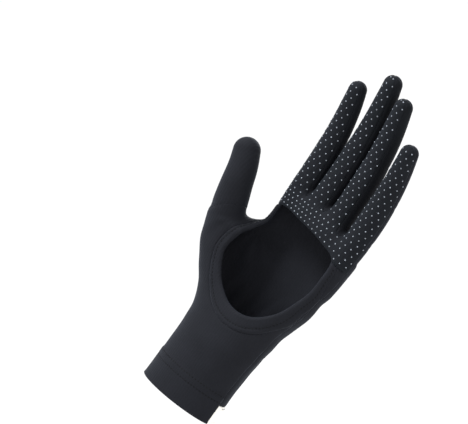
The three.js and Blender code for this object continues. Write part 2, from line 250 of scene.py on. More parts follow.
def outline_distance(points, ring):
    """Signed distance of 2-D points to a closed outline, negative inside."""
    best = np.full(len(points), 1e9)
    inside = np.zeros(len(points), bool)
    for p, q in zip(ring, np.roll(ring, -1, 0)):
        d = q - p
        t = np.clip(((points - p) @ d) / max(d @ d, 1e-9), 0, 1)
        best = np.minimum(best, ((points - p - t[:, None] * d) ** 2).sum(1))
        if abs(d[1]) > 1e-12:
            crosses = (p[1] > points[:, 1]) != (q[1] > points[:, 1])
            inside ^= crosses & (points[:, 0] < d[0] * (points[:, 1] - p[1]) / d[1] + p[0])
    return np.where(inside, -1, 1) * np.sqrt(best)


def finger_path(row):
    """Stations of one finger: centre, heading, pad direction and radius."""
    _, x, back, up, long, thick, lean, twist = row
    at = np.array([PALM_SHIFT + x * PALM[0], PALM_SETBACK * back, BODY_LENGTH * up])
    lean = math.radians(lean)
    alongs = np.linspace(STATIONS[0][0], STATIONS[-1][0], 22)
    table = np.array(STATIONS, float)
    bends = np.radians(smooth_through(table[:, 0], table[:, 1], alongs))
    thicks = smooth_through(table[:, 0], table[:, 2], alongs)
    path = []
    reached = 0.0
    for along, bend, share in zip(alongs, bends, thicks):
        level = math.cos(bend)
        head = np.array([math.sin(lean) * level, -math.sin(bend), math.cos(lean) * level])
        at = at + head * (along - reached) * long * FINGER_LENGTH
        reached = along
        pad = turned_pad(head, math.radians(twist))
        path.append((at.copy(), head, pad, share * thick * FINGER_THICKNESS / 2))
    return path


def turned_pad(head, twist):
    """The direction of the pad, square to the heading, turned by twist towards the little finger."""
    pad = np.array([0.0, -1.0, 0.0]) + head * head[1]
    pad /= np.linalg.norm(pad)
    return pad * math.cos(twist) + np.cross(head, pad) * math.sin(twist)


def thumb_path():
    """Stations of the thumb."""
    rows = np.array(THUMB_ROWS)
    size = np.array([THUMB_LENGTH, THUMB_LENGTH, BODY_LENGTH])
    share = np.linspace(0, len(rows) - 1, 19)
    index = np.arange(len(rows))
    at = np.stack([smooth_through(index, rows[:, k] * size[k], share) for k in range(3)], 1)
    radius = smooth_through(index, rows[:, 3], share) * THUMB_THICKNESS / 2
    heads = np.gradient(at, axis=0)
    heads /= np.linalg.norm(heads, axis=1)[:, None]
    return [(p, h, turned_pad(h, 0.0), r) for p, h, r in zip(at, heads, radius)]


FINGER_PATHS = [finger_path(row) for row in FINGERS]
THUMB_PATH = thumb_path()


def tube_field(points, path):
    """For points: distance to the tube's wall, and the share of the way along it."""
    best = np.full(len(points), 1e9)
    where = np.zeros(len(points))
    for i in range(len(path) - 1):
        p, q = path[i][0], path[i + 1][0]
        d = q - p
        t = np.clip(((points - p) @ d) / (d @ d), 0, 1)
        away = np.linalg.norm(points - p - t[:, None] * d, axis=1)
        wall = away - (path[i][3] + (path[i + 1][3] - path[i][3]) * t)
        nearer = wall < best
        best = np.where(nearer, wall, best)
        where = np.where(nearer, i + t, where)
    return best, where


def blend_min(a, b, k):
    """The smaller of two fields, rounded where they meet."""
    h = np.maximum(k - np.abs(a - b), 0) / k
    return np.minimum(a, b) - h * h * k / 4


def glove_grid():
    """The field of the whole hand shape on a grid, and the grid's axes."""
    xs = np.arange(-68, 54, VOXEL)
    ys = np.arange(-32, 34, VOXEL)
    zs = np.arange(-6, 246, VOXEL)
    gx, gy = np.meshgrid(xs, ys, indexing="ij")
    flat = np.stack([gx.ravel(), gy.ravel()], 1)
    level = np.linspace(-6, BODY_LENGTH * BODY_ROWS[-1][0], 104)
    s = body_at(level)
    slices = np.stack(
        [outline_distance(flat, body_ring(s, i)).reshape(gx.shape) for i in range(len(level))], 2
    )
    body = np.full((len(xs), len(ys), len(zs)), 40.0)
    for i, x in enumerate(xs):
        across = np.clip((x - s["x"]) / s["a"], 0, 1)
        lowered = level - s["droop"] * across**2
        height = np.interp(zs, lowered, np.arange(len(level)))
        low = np.clip(height.astype(int), 0, len(level) - 2)
        t = height - low
        column = slices[i][:, low] * (1 - t) + slices[i][:, low + 1] * t
        body[i] = -blend_min(-column, (lowered[-1] - zs)[None, :], 6.0)
    fingers = np.full(body.shape, 40.0)
    for path in FINGER_PATHS:
        stamp_tube(fingers, path, (xs, ys, zs), 1.0)
    thumb = np.full(body.shape, 40.0)
    stamp_tube(thumb, THUMB_PATH, (xs, ys, zs), 0.0)
    field = blend_min(body, fingers, 5.0)
    return blend_min(field, thumb, 9.0), (xs, ys, zs)


def stamp_tube(field, path, axes, k):
    """Joins a tube to a field, working only near the tube."""
    centres = np.array([p[0] for p in path])
    spans = []
    for axis, low, high in zip(axes, centres.min(0) - 26, centres.max(0) + 26):
        spans.append(slice(*np.clip(np.searchsorted(axis, [low, high]), 0, len(axis))))
    block = np.stack(np.meshgrid(*(a[s] for a, s in zip(axes, spans)), indexing="ij"), -1)
    wall = tube_field(block.reshape(-1, 3), path)[0].reshape(block.shape[:3])
    old = field[tuple(spans)]
    field[tuple(spans)] = blend_min(old, wall, k) if k else np.minimum(old, wall)


def glove_surface():
    """Vertices and triangles of the hand shape's surface, facing out."""
    field, axes = glove_grid()
    grid = openvdb.FloatGrid(float(field.max()))
    grid.copyFromArray(np.ascontiguousarray(field))
    points, quads = grid.convertToQuads(0.0)
    verts = np.asarray(points, float) * VOXEL + np.array([a[0] for a in axes])
    quads = np.asarray(quads, int)
    edges = np.concatenate([quads[:, [0, 1]], quads[:, [1, 2]], quads[:, [2, 3]], quads[:, [3, 0]]])
    verts = relaxed(verts, edges, 6)
    p = verts[quads]
    first = ((p[:, 0] - p[:, 2]) ** 2).sum(1) <= ((p[:, 1] - p[:, 3]) ** 2).sum(1)
    a = quads[first]
    b = quads[~first]
    tris = np.concatenate([a[:, [0, 1, 2]], a[:, [0, 2, 3]], b[:, [1, 2, 3]], b[:, [1, 3, 0]]])
    p = verts[tris]
    if (np.cross(p[:, 0], p[:, 1]) * p[:, 2]).sum() < 0:
        tris = tris[:, ::-1]
    return verts, tris


def relaxed(verts, edges, rounds):
    """Smooths a mesh without shrinking it."""
    count = np.bincount(edges.ravel(), minlength=len(verts))[:, None]
    for _ in range(rounds):
        for pull in (0.5, -0.52):
            total = np.zeros_like(verts)
            for k in range(3):
                total[:, k] = np.bincount(edges[:, 0], verts[edges[:, 1], k], len(verts))
                total[:, k] += np.bincount(edges[:, 1], verts[edges[:, 0], k], len(verts))
            verts = verts + pull * (total / count - verts)
    return verts


GROUPS = ("hem", "opening", "band", "thumb", "grip", "facing", "back")


def near_fingers(verts):
    """For vertices: the nearest finger, the angle from its pad in degrees, and its radius there."""
    best = np.full(len(verts), 1e9)
    zero = np.zeros(len(verts))
    out = {"finger": zero.astype(int), "angle": zero, "radius": zero + 1}
    for i, path in enumerate(FINGER_PATHS):
        wall, where = tube_field(verts, path)
        low = np.clip(where.astype(int), 0, len(path) - 2)
        t = (where - low)[:, None]
        columns = (np.array([p[k] for p in path]) for k in range(3))
        centre, head, pad = (c[low] * (1 - t) + c[low + 1] * t for c in columns)
        radius = np.interp(where, np.arange(len(path)), [p[3] for p in path])
        away = verts - centre
        angle = np.degrees(np.arctan2((away * np.cross(head, pad)).sum(1), (away * pad).sum(1)))
        nearer = wall < best
        best = np.where(nearer, wall, best)
        for key, value in (("finger", i), ("angle", angle), ("radius", radius)):
            out[key] = np.where(nearer, value, out[key])
    return out


def spline_ring(rows, per=6):
    """A closed smooth curve through rows of numbers."""
    p = np.array(rows, float)
    t = np.linspace(0, 1, per, endpoint=False)[:, None]
    out = []
    for i in range(len(p)):
        a, b, c, d = (p[(i + k) % len(p)] for k in (-1, 0, 1, 2))
        square, cube = 2 * a - 5 * b + 4 * c - d, 3 * b - a - 3 * c + d
        out.append(0.5 * (2 * b + (c - a) * t + square * t**2 + cube * t**3))
    return np.concatenate(out)


def opening_outline(grow, facing):
    """The palm opening in x and z, moved out by grow and by the facing's width times facing."""
    half = np.array([OPENING["width"] / 2, OPENING["height"] / 2])
    ring = spline_ring(OPENING_ROWS)
    points = ring[:, :2] * half + [OPENING["x"], OPENING["z"]]
    along = np.roll(points, -1, 0) - np.roll(points, 1, 0)
    along /= np.linalg.norm(along, axis=1)[:, None]
    move = grow + facing * ring[:, 2] * FACING_WIDTH
    return points + np.stack([-along[:, 1], along[:, 0]], 1) * move[:, None]


def grip_edge_height(x):
    """Height of the grip panel's lower edge over x."""
    rows = np.array(GRIP_EDGE_ROWS)
    xs = OPENING["x"] + rows[:, 0] * OPENING["width"] / 2
    return smooth_through(xs, OPENING["z"] + rows[:, 1] * OPENING["height"] / 2, x)


def seam_fields(verts):
    """Signed distances to each region's edge at the vertices, positive inside the region."""
    x, y, z = verts.T
    s = body_at(z)
    palm = s["y"] - SEAM_FORWARD - y
    side = PALM_SHIFT + PALM[0] / 2
    web = BODY_LENGTH * WEB_SHARE - WEB_DROP * np.clip((x - PALM_SHIFT) / (side - PALM_SHIFT), 0, 1) - z
    near = near_fingers(verts)
    angle, finger = near["angle"], near["finger"]
    outer = ((finger == 0) & (angle < 0)) | ((finger == 3) & (angle > 0))
    arc = near["radius"] * np.pi / 180
    front = (np.where(outer, OUTER_SEAM, FRONT_HALF) - abs(angle)) * arc
    rear = (abs(angle) - np.where(outer, OUTER_SEAM, 180 - BACK_HALF)) * arc
    above = z - grip_edge_height(x)
    tilt = math.radians(THUMB_SEAM["tilt"])
    dx = x - THUMB_SEAM["x"] * THUMB_LENGTH
    dz = z - THUMB_SEAM["up"] * BODY_LENGTH
    end = THUMB_SEAM["x"] * THUMB_LENGTH + THUMB_SEAM["reach"] * math.cos(tilt)
    flat = np.stack([x, z], 1)
    return {
        "hem": -z,
        "opening": np.minimum(-outline_distance(flat, opening_outline(0, 0)), OPENING["depth"] - y),
        "band": np.minimum(BAND_HEIGHT - z, -palm),
        "thumb": np.minimum(dz * math.cos(tilt) - dx * math.sin(tilt), end - x),
        "grip": np.minimum(np.maximum(np.minimum(front, z - 118), np.minimum(palm, web)), above),
        "facing": np.minimum(
            np.minimum(-outline_distance(flat, opening_outline(0, 1)), palm + 0.2), -above
        ),
        "back": np.maximum(np.minimum(rear, z - 118), np.minimum(-palm, web)),
        "finger": finger + (angle > 0) * 0.5,
    }


def cut_along(mesh, key, index):
    """Splits the triangles with no label yet along the zero line of a field, and labels those inside."""
    value = mesh["data"][key]
    value[abs(value) < 0.07] = 0
    sign = np.sign(value)
    tris, label = mesh["tris"], mesh["label"]
    s = sign[tris]
    crossing = (label < 0) & (s.max(1) > 0) & (s.min(1) < 0)
    t = tris[crossing]
    pairs = np.sort(np.stack([t, np.roll(t, -1, 1)], 2), 2)
    cut = sign[pairs[:, :, 0]] * sign[pairs[:, :, 1]] < 0
    edges, inverse = np.unique(pairs[cut], axis=0, return_inverse=True)
    a, b = edges.T
    w = value[a] / (value[a] - value[b])
    first_new = len(value)
    for name, column in mesh["data"].items():
        wide = w if column.ndim == 1 else w[:, None]
        mesh["data"][name] = np.concatenate([column, column[a] * (1 - wide) + column[b] * wide])
    mesh["data"][key][first_new:] = 0
    middle = np.full(cut.shape, -1)
    middle[cut] = first_new + inverse.ravel()
    pieces = [tris[~crossing]]
    two = cut.sum(1) == 2
    lone = np.argmin(cut, 1)[two]
    rows = np.nonzero(two)[0]

    def corner(row, k):
        return t[row, k % 3]

    def halfway(row, k):
        return middle[row, k % 3]

    # The uncut edge lies opposite the lone corner.
    p, q, r = (corner(rows, lone + k) for k in range(3))
    qr, rp = halfway(rows, lone + 1), halfway(rows, lone + 2)
    pieces += [np.stack(c, 1) for c in ((r, rp, qr), (p, q, qr), (p, qr, rp))]
    rows = np.nonzero(~two)[0]
    lone = np.argmax(cut, 1)[~two]
    p, q, r = (corner(rows, lone + k) for k in range(3))
    m = halfway(rows, lone)
    pieces += [np.stack(c, 1) for c in ((p, m, r), (m, q, r))]
    mesh["tris"] = np.concatenate(pieces)
    added = len(mesh["tris"]) - len(pieces[0])
    mesh["label"] = np.concatenate([label[~crossing], np.full(added, -1)])
    inside = mesh["data"][key][mesh["tris"]].sum(1) > 0
    mesh["label"][(mesh["label"] < 0) & inside] = index


def vertex_normals(verts, tris):
    """Area-weighted normals."""
    p = verts[tris]
    face = np.cross(p[:, 1] - p[:, 0], p[:, 2] - p[:, 0])
    total = np.zeros_like(verts)
    for corner in range(3):
        for k in range(3):
            total[:, k] += np.bincount(tris[:, corner], face[:, k], len(verts))
    return total / np.maximum(np.linalg.norm(total, axis=1), 1e-12)[:, None]


def cut_glove():
    """The surface split into its panels: shared vertex data, and a label for each triangle."""
    verts, tris = glove_surface()
    data = {"at": verts, "normal": vertex_normals(verts, tris), **seam_fields(verts)}
    mesh = {"data": data, "tris": tris, "label": np.full(len(tris), -1)}
    for index, key in enumerate(GROUPS):
        cut_along(mesh, key, index)
    middle = mesh["data"]["at"][mesh["tris"]].mean(1)
    high = (mesh["label"] < 0) & (middle[:, 2] > 132)
    gap = np.clip(np.floor(mesh["data"]["finger"][mesh["tris"]].mean(1) - 0.25), 0, 2)
    mesh["label"][high] = 8 + gap[high]
    mesh["label"][mesh["label"] < 0] = 7
    return mesh


PANELS = {
    2: ("cuff_band", "pale_band"),
    3: ("thumb", "dark_knit"),
    4: ("grip_panel", "dotted_knit"),
    5: ("opening_facing", "dark_facing"),
    6: ("back_panel", "dark_knit"),
    7: ("palm_panel", "dark_knit"),
    8: ("fourchette_index_middle", "dark_knit"),
    9: ("fourchette_middle_ring", "dark_knit"),
    10: ("fourchette_ring_little", "dark_knit"),
}


def border_edges(tris):
    """Directed edges that only one triangle has."""
    edges = np.concatenate([tris[:, [0, 1]], tris[:, [1, 2]], tris[:, [2, 0]]])
    key = np.sort(edges, 1)
    _, inverse, count = np.unique(key, axis=0, return_inverse=True, return_counts=True)
    return edges[count[inverse.ravel()] == 1]


def panel_shape(mesh, index):
    """One panel cut out of the surface: its points, normals, triangles and border."""
    tris = mesh["tris"][mesh["label"] == index]
    used, inverse = np.unique(tris, return_inverse=True)
    tris = inverse.reshape(tris.shape)
    shape = {"at": mesh["data"]["at"][used], "normal": mesh["data"]["normal"][used], "tris": tris}
    shape["normal"] /= np.linalg.norm(shape["normal"], axis=1)[:, None]
    shape["border"] = border_edges(tris)
    return shape


def border_distance(shape, limit=4.0):
    """Distance of each point of a panel to its border, up to a limit."""
    ends = shape["at"][shape["border"]]
    samples = np.concatenate([ends[:, 0] * (1 - t) + ends[:, 1] * t for t in (0, 0.5)])
    tree = KDTree(len(samples))
    for i, p in enumerate(samples):
        tree.insert(p, i)
    tree.balance()
    return np.array([min(tree.find(p)[2], limit) for p in shape["at"]])


def gather_folds(at):
    """How far the cloth of the back is drawn in or stands out at the wrist elastic."""
    s = body_at(at[:, 2])
    x = (at[:, 0] - s["x"]) / s["a"]
    y = (at[:, 1] - s["y"]) / s["b"]
    share = np.clip(np.arctan2(y, x) / np.pi, 0, 1)
    window = np.sin(np.pi * share) ** 1.4 * (y > -0.05)
    z = at[:, 2]
    drift = 0.012 * np.sin(z / 11 + 9 * share) + 0.008 * np.sin(z / 5.3 + 23 * share)
    fold = np.cos(2 * np.pi * GATHERS * (share + drift))
    deep = np.sign(fold) * abs(fold) ** 0.8 * 1.25 - 1.35
    line = np.exp(-(((z - GATHER_LINE) / 3.2) ** 2))
    fine = 0.32 * np.cos(2 * np.pi * 2.5 * GATHERS * (share + 1.6 * drift))
    fine *= np.exp(-(((z - GATHER_LINE) / 9) ** 2))
    return window * (s["gather"] * deep + fine * (1 - 0.5 * line) - 0.55 * line)


def slack(at):
    """Broad, shallow waves of cloth that isn't drawn quite tight."""
    x, y, z = at.T
    wave = np.sin(z / 8.5 + x / 17 + 1.3) * np.sin(x / 10 - z / 31 + 0.4)
    wave += 0.6 * np.sin(z / 4.7 - x / 9 + 2.1) * np.sin(y / 6 + z / 19)
    return 0.13 * wave * (1 - 0.7 * ease(130, 150, z))


def creases(at):
    """Shallow folds of the stretched cloth: across the finger joints, and fanning from the thumb's root."""
    x, _, z = at.T
    total = np.zeros(len(at))
    for i, path in enumerate(FINGER_PATHS):
        wall, where = tube_field(at, path)
        share = where / (len(path) - 1)
        near = ease(3.5, 0.5, wall)
        for k, (centre, width, depth) in enumerate(CREASES):
            wave = centre + 0.008 * np.sin(x * 0.9 + i * 2 + k)
            total -= near * depth * np.exp(-(((share - wave) / width) ** 2))
    dx, dz = x + 30, z - 110
    round_thumb = np.arctan2(dz, dx)
    away = np.hypot(dx, dz)
    fan = np.cos(round_thumb * 11 + 0.6 * np.sin(away / 6)) * np.exp(-(((away - 15) / 9) ** 2))
    return total + 0.16 * fan * (round_thumb < 0.4)


def finish_panel(mesh, index, raised=0.0, thickness=1.1, open_edge=0.0):
    """A panel with its wall: seams drawn in, folds and creases, and an inner side."""
    name = PANELS[index][0]
    shape = panel_shape(mesh, index)
    if not len(shape["tris"]):
        raise RuntimeError("No cloth is left for " + name)
    at, normal, tris, border = (shape[k] for k in ("at", "normal", "tris", "border"))
    edge = border_distance(shape)
    # The grip panel's lower edge is lapped; the side seam and the thumb's outer seam lie flush.
    lap = np.exp(-(((at[:, 2] - grip_edge_height(at[:, 0])) / 1.2) ** 2)) * (at[:, 1] < OPENING["depth"])
    flush = ease(22, 34, at[:, 0]) * ease(148, 138, at[:, 2]) * (1 - lap)
    flush += 0.7 * ease(-28, -36, at[:, 0])
    height = raised * (1 - np.exp(-((edge / 0.55) ** 2)))
    height -= (SEAM_GROOVE - 0.24 * flush + 0.35 * lap) * np.exp(-((edge / SEAM_WIDTH) ** 2))
    height += LOWER_EDGE * np.exp(-((at[:, 2] / 0.9) ** 2))
    if name in ("back_panel", "cuff_band"):
        height += gather_folds(at)
    height += creases(at) + slack(at)
    if name == "palm_panel":
        turned = 1 - ease(HEM_HEIGHT - 0.6, HEM_HEIGHT + 0.3, at[:, 2])
        height += HEM_PROUD * turned
        for row in HEM_ROWS:
            height -= 0.3 * np.exp(-(((at[:, 2] - row) / 0.55) ** 2))
    if name == "opening_facing":
        away = outline_distance(at[:, [0, 2]], opening_outline(0, FACING_STITCH))
        height -= 0.36 * np.exp(-((away / 0.6) ** 2))
    if name == "cuff_band":
        height -= 0.12 * np.exp(-(((at[:, 2] - BAND_HEIGHT + BAND_ROW_DROP) / 0.4) ** 2))
    outer = at + normal * height[:, None]
    depth = thickness + raised * 0.6
    inner = outer - normal * depth
    a, b = border.T
    run = outer[b] - outer[a]
    out = np.cross(run, normal[a])
    outward = np.zeros_like(outer)
    for end in (a, b):
        for k in range(3):
            outward[:, k] += np.bincount(end, out[:, k], len(outer))
    outward /= np.maximum(np.linalg.norm(outward, axis=1), 1e-9)[:, None]
    bulge = np.where(at[:, 2] < 0.5, 0.4, open_edge) * depth
    rim_points = np.unique(border)
    place = np.full(len(outer), -1)
    place[rim_points] = 2 * len(outer) + np.arange(len(rim_points))
    rim = ((outer + inner) / 2 + outward * bulge[:, None])[rim_points]
    n = len(outer)
    quads = [np.stack([b, a, place[a], place[b]], 1), np.stack([place[b], place[a], a + n, b + n], 1)]
    verts = np.concatenate([outer, inner, rim])
    faces = [tris, tris[:, ::-1] + n, np.concatenate(quads)]
    # Free edges are rounded; at a seam the wall's end is flat, so it doesn't catch the light.
    free = at[:, 2] < 0.5
    if open_edge:
        free |= outline_distance(at[:, [0, 2]], opening_outline(0, 0)) < 0.8
    smooth = np.concatenate([np.ones(2 * len(tris), bool), free[a], free[a]])
    obj = mesh_object(name + "_cloth", verts, faces, smooth)
    return obj, {"at": outer, "normal": vertex_normals(outer, tris), "tris": tris, "border": border}


def mesh_object(name, verts, face_groups, smooth=True):
    """A mesh object at the origin from points in mm and arrays of faces; smooth is for all or for each."""
    loops = np.concatenate([g.ravel() for g in face_groups])
    sizes = np.concatenate([np.full(len(g), g.shape[1]) for g in face_groups])
    mesh = bpy.data.meshes.new(name)
    mesh.vertices.add(len(verts))
    mesh.vertices.foreach_set("co", (np.asarray(verts) / 1000).astype(np.float32).ravel())
    mesh.loops.add(len(loops))
    mesh.loops.foreach_set("vertex_index", loops.astype(np.int32))
    mesh.polygons.add(len(sizes))
    starts = np.concatenate([[0], np.cumsum(sizes)[:-1]])
    mesh.polygons.foreach_set("loop_start", starts.astype(np.int32))
    mesh.polygons.foreach_set("use_smooth", np.full(len(sizes), smooth))
    mesh.update(calc_edges=True)
    mesh.validate()
    obj = bpy.data.objects.new(name, mesh)
    bpy.context.scene.collection.objects.link(obj)
    return obj


# Materials


def linear(value):
    """sRGB hex to linear colour."""
    parts = [int(value[i : i + 2], 16) / 255 for i in (1, 3, 5)]
    return [v / 12.92 if v <= 0.04045 else ((v + 0.055) / 1.055) ** 2.4 for v in parts] + [1.0]


def node(tree, kind, links=(), **settings):
    """Adds a node; settings are its properties, or its inputs by name; links are (input, output socket)."""
    n = tree.nodes.new(kind)
    for key, value in settings.items():
        if hasattr(n, key):
            setattr(n, key, value)
        else:
            n.inputs[key.replace("_", " ")].default_value = value
    for key, socket in links:
        tree.links.new(n.inputs[key], socket)
    return n


def knit(name, deep, pale, sheen, wale=0.9, bump=0.16, rough=0.78):
    """Fine warp-knit polyamide and elastane: matt, with a soft sheen and wales that run up the hand.

    Real wales are about 0.4 mm apart; they are drawn 0.9 mm apart, because finer ones don't show.
    """
    material = bpy.data.materials.new(name)
    material.use_nodes = True
    tree = material.node_tree
    shader = tree.nodes["Principled BSDF"]
    shader.inputs["Roughness"].default_value = rough
    shader.inputs["Sheen Weight"].default_value = sheen
    shader.inputs["Sheen Roughness"].default_value = 0.45
    shader.inputs["Specular IOR Level"].default_value = 0.1
    shader.inputs["Sheen Tint"].default_value = linear("#A9B8D0")
    where = node(tree, "ShaderNodeTexCoord")
    place = node(tree, "ShaderNodeMapping", [("Vector", where.outputs["Object"])])
    place.inputs["Scale"].default_value = (1000, 1000, 1000)
    mm = place.outputs["Vector"]
    grain = {"Scale": 1.0 / wale, "Detail": 3.0, "Roughness": 0.65, "Distortion": 0.2}
    thread = node(tree, "ShaderNodeTexNoise", [("Vector", mm)], **grain)
    patch = node(tree, "ShaderNodeTexNoise", [("Vector", mm)], Scale=0.07, Detail=3.0)
    line = {"Scale": 1.0 / wale * 0.16, "Distortion": 2.5, "Detail": 2.0}
    wales = node(tree, "ShaderNodeTexWave", [("Vector", mm)], **line)
    tint = node(tree, "ShaderNodeMix", [("Factor", patch.outputs["Fac"])], data_type="RGBA")
    tint.inputs[6].default_value = deep
    tint.inputs[7].default_value = pale
    speck = node(tree, "ShaderNodeMapRange", [("Value", thread.outputs["Fac"])])
    speck.inputs["To Min"].default_value = 0.86
    speck.inputs["To Max"].default_value = 1.14
    colour = node(tree, "ShaderNodeVectorMath", [(0, tint.outputs[2])], operation="SCALE")
    tree.links.new(colour.inputs["Scale"], speck.outputs["Result"])
    tree.links.new(shader.inputs["Base Color"], colour.outputs["Vector"])
    heights = [(0, wales.outputs["Fac"]), (1, thread.outputs["Fac"])]
    both = node(tree, "ShaderNodeMath", heights, operation="ADD")
    raised = [("Height", both.outputs["Value"])]
    relief = node(tree, "ShaderNodeBump", raised, Strength=bump, Distance=0.0004)
    tree.links.new(shader.inputs["Normal"], relief.outputs["Normal"])
    return material


def plain(name, colour, rough, grain=1.1, spread=0.1, **extra):
    """A material of one colour, lighter and darker by a spread, in a grain of so many mm."""
    material = bpy.data.materials.new(name)
    material.use_nodes = True
    tree = material.node_tree
    shader = tree.nodes["Principled BSDF"]
    shader.inputs["Roughness"].default_value = rough
    for key, value in extra.items():
        shader.inputs[key.replace("_", " ")].default_value = value
    place = [("Vector", node(tree, "ShaderNodeTexCoord").outputs["Object"])]
    patches = node(tree, "ShaderNodeTexNoise", place, Scale=1000.0 / grain, Detail=2.0)
    shade = node(tree, "ShaderNodeMix", [("Factor", patches.outputs["Fac"])], data_type="RGBA")
    for socket, share in ((6, 1 - spread), (7, 1 + spread)):
        shade.inputs[socket].default_value = [min(1.0, v * share) for v in colour[:3]] + [1.0]
    tree.links.new(shader.inputs["Base Color"], shade.outputs[2])
    return material


def declare(obj, node_name, slot):
    """Rides on the glove's one body and stands for its CAD node, which it hides; slot is not used."""
    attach(obj, "root")
    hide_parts(node_name)


# Small repeated pieces


def tree_of_copies(name, shape):
    """A node tree that puts one small shape on every point, turned by the point's own directions.

    shape is dome or stitch. Inputs: Width, Length and Height in metres, and Finish.
    """
    tree = bpy.data.node_groups.new(name, "GeometryNodeTree")
    face = tree.interface
    face.new_socket("Geometry", in_out="INPUT", socket_type="NodeSocketGeometry")
    for label in ("Width", "Length", "Height"):
        face.new_socket(label, in_out="INPUT", socket_type="NodeSocketFloat")
    face.new_socket("Finish", in_out="INPUT", socket_type="NodeSocketMaterial")
    face.new_socket("Geometry", in_out="OUTPUT", socket_type="NodeSocketGeometry")
    start = node(tree, "NodeGroupInput")
    end = node(tree, "NodeGroupOutput")
    kind = "GeometryNodeMeshUVSphere" if shape == "dome" else "GeometryNodeMeshIcoSphere"
    ball = node(tree, kind)
    if shape == "dome":
        ball.inputs["Segments"].default_value = 10
        ball.inputs["Rings"].default_value = 6
    else:
        ball.inputs["Subdivisions"].default_value = 2
    ball.inputs["Radius"].default_value = 0.5
    size = node(
        tree,
        "ShaderNodeCombineXYZ",
        [("X", start.outputs["Length"]), ("Y", start.outputs["Width"]), ("Z", start.outputs["Height"])],
    )
    facing = node(tree, "GeometryNodeInputNamedAttribute", data_type="FLOAT_VECTOR")
    facing.inputs["Name"].default_value = "facing"
    along = node(tree, "GeometryNodeInputNamedAttribute", data_type="FLOAT_VECTOR")
    along.inputs["Name"].default_value = "along"
    first = node(tree, "FunctionNodeAlignRotationToVector", [("Vector", facing.outputs[0])], axis="Z")
    second = node(
        tree,
        "FunctionNodeAlignRotationToVector",
        [("Vector", along.outputs[0]), ("Rotation", first.outputs["Rotation"])],
        axis="X",
        pivot_axis="Z",
    )
    copies = node(
        tree,
        "GeometryNodeInstanceOnPoints",
        [
            ("Points", start.outputs["Geometry"]),
            ("Instance", ball.outputs["Mesh"]),
            ("Rotation", second.outputs["Rotation"]),
            ("Scale", size.outputs["Vector"]),
        ],
    )
    real = node(tree, "GeometryNodeRealizeInstances", [("Geometry", copies.outputs["Instances"])])
    dressed = [("Geometry", real.outputs["Geometry"]), ("Material", start.outputs["Finish"])]
    finish = node(tree, "GeometryNodeSetMaterial", dressed)
    tree.links.new(end.inputs["Geometry"], finish.outputs["Geometry"])
    return tree


def copies_on(name, points, facing, along, shape, size, material):
    """A mesh of small copies at points in mm. size is (length, width, height) in metres."""
    if not len(points):
        raise RuntimeError("No place was found for " + name)
    seed = bpy.data.meshes.new(name + "_points")
    seed.from_pydata([tuple(p / 1000) for p in points], [], [])
    for key, values in (("facing", facing), ("along", along)):
        attribute = seed.attributes.new(key, "FLOAT_VECTOR", "POINT")
        attribute.data.foreach_set("vector", np.asarray(values, np.float32).ravel())
    holder = bpy.data.objects.new(name + "_points", seed)
    bpy.context.scene.collection.objects.link(holder)
    tree = tree_of_copies(name + "_tree", shape)
    modifier = holder.modifiers.new("copies", "NODES")
    modifier.node_group = tree
    sockets = {s.name: s.identifier for s in tree.interface.items_tree if s.in_out == "INPUT"}
    for key, value in zip(("Length", "Width", "Height"), size):
        modifier[sockets[key]] = value
    modifier[sockets["Finish"]] = material
    bpy.context.view_layer.update()
    graph = bpy.context.evaluated_depsgraph_get()
    mesh = bpy.data.meshes.new_from_object(holder.evaluated_get(graph), depsgraph=graph)
    mesh.name = name
    bpy.data.objects.remove(holder)
    mesh.polygons.foreach_set("use_smooth", np.ones(len(mesh.polygons), bool))
    obj = bpy.data.objects.new(name, mesh)
    bpy.context.scene.collection.objects.link(obj)
    return obj


class Surface:
    """A panel's outer side, for finding points on it."""

    def __init__(self, shape):
        self.shape = shape
        self.tree = BVHTree.FromPolygons(shape["at"].tolist(), shape["tris"].tolist())
        ends = shape["at"][shape["border"]].mean(1)
        self.border = KDTree(len(ends))
        for i, p in enumerate(ends):
            self.border.insert(p, i)
        self.border.balance()

    def hit(self, start, toward, reach):
        """The first point of the surface from start along toward, with its smooth normal."""
        point, _, face, _ = self.tree.ray_cast(Vector(start), Vector(toward), reach)
        if point is None:
            return None
        return np.array(point), self.normal(point, face)

    def nearest(self, start, reach):
        """The surface's point nearest to start within reach, with its smooth normal."""
        point, _, face, _ = self.tree.find_nearest(Vector(start), reach)
        if point is None:
            return None
        return np.array(point), self.normal(point, face)

    def normal(self, point, face):
        """The smooth normal at a point of a face."""
        corners = self.shape["tris"][face]
        near = 1 / (np.linalg.norm(self.shape["at"][corners] - np.array(point), axis=1) + 1e-3)
        n = (self.shape["normal"][corners] * near[:, None]).sum(0)
        return n / np.linalg.norm(n)

    def from_border(self, point):
        """Distance from a point to the panel's edge."""
        return self.border.find(Vector(point))[2]


def palm_dots(surface, row_step, column_step):
    """Dots below the fingers: staggered rows round the hand, closer together towards the thumb."""
    found = []
    for row in range(int((FINGERS_FROM - GRIP_LOWEST) / (row_step * CLOSER))):
        down = (row + 1) * row_step
        line = ring_line(surface, FINGERS_FROM - down * CLOSER, 170, 385, 200)
        if len(line) < 3:
            continue
        closer = CLOSER + (1 - CLOSER) * ease(-10, 40, line[:, 0])
        step = np.linalg.norm(np.diff(line, axis=0), axis=1) / closer[1:]
        run = np.concatenate([[0], np.cumsum(step)])
        middle = run[np.argmin(abs(line[:, 0] - PALM_SHIFT))]
        line[:, 2] = FINGERS_FROM - down * closer
        for at in np.arange(middle % column_step + 0.5 * column_step * (row % 2), run[-1], column_step):
            found.append(surface.nearest([np.interp(at, run, line[:, k]) for k in range(3)], 2.0))
    return [f for f in found if f]


